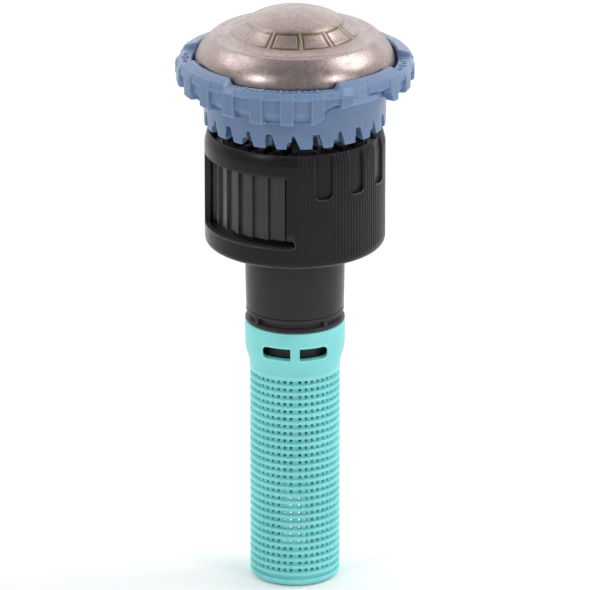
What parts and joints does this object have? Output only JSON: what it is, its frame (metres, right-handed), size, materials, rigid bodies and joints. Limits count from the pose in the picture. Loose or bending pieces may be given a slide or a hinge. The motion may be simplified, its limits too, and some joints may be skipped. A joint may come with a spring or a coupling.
{
  "type": "rotating-stream sprinkler nozzle",
  "caption": "Adjustable rotating-stream spray nozzle with a filter screen, which screws onto the riser of a pop up sprinkler; the top turret spins and lifts.",
  "frame": {"origin": "centre of the filter screen's flat foot, which is the lowest face", "axes": "+Z along the nozzle's axis towards the cap; -Y towards the side with the wider raised ledge, +X to its right"},
  "size_m": [0.0304, 0.0304, 0.0768],
  "materials": {
    "teal_plastic": "moulded nylon, satin",
    "charcoal_plastic": "moulded, satin",
    "black_plastic": "moulded, satin",
    "black_rubber": "soft",
    "natural_plastic": "natural acetal",
    "bright_steel": "drawn",
    "brass": "turned",
    "blue_plastic": "moulded, satin",
    "stainless_cap": "tumbled, satin"
  },
  "bodies": {
    "nozzle_body": {"screen": "teal_plastic", "screen_collar": "charcoal_plastic", "inlet_neck": "charcoal_plastic", "threaded_base": "black_plastic", "riser_gasket": "black_rubber", "nozzle_cover": "black_plastic", "nozzle_plate": "charcoal_plastic", "spring_seat": "natural_plastic"},
    "radius_ring": {"radius_ring": "black_plastic"},
    "throttle": {"throttle_ring": "natural_plastic"},
    "arc_valve": {"arc_valve_sleeve": "charcoal_plastic"},
    "stem": {"shaft": "bright_steel", "lower_clip": "bright_steel", "spring_washer": "bright_steel", "return_spring": "bright_steel", "thrust_washer": "natural_plastic", "brake_rotor": "natural_plastic", "top_clip": "bright_steel"},
    "turret": {"deflector": "blue_plastic", "shaft_bushing": "brass", "shaft_seal": "black_rubber", "chamber_lid": "natural_plastic", "cap": "stainless_cap"}
  },
  "joints": [
    {"name": "radius_ring_turn", "type": "hinge", "parent": "nozzle_body", "child": "radius_ring", "pos_m": [0, 0, 0.0545], "axis": [0, 0, 1], "range_deg": [0, 270]},
    {"name": "throttle_travel", "type": "slide", "parent": "nozzle_body", "child": "throttle", "axis": [0, 0, 1], "range_m": [0, 0.0012]},
    {"name": "arc_adjust", "type": "hinge", "parent": "nozzle_body", "child": "arc_valve", "pos_m": [0, 0, 0.0595], "axis": [0, 0, 1], "range_deg": [0, 225]},
    {"name": "stem_press_pull", "type": "slide", "parent": "nozzle_body", "child": "stem", "axis": [0, 0, 1], "range_m": [-0.0009, 0.005], "stiffness_N_per_m": 600, "deforming": ["return_spring"]},
    {"name": "turret_spin", "type": "hinge", "parent": "stem", "child": "turret", "pos_m": [0, 0, 0.067], "axis": [0, 0, 1], "continuous": true}
  ],
  "couplings": [
    {"joint": "throttle_travel", "follows": "radius_ring_turn", "m_per_rad": 0.00025}
  ]
}
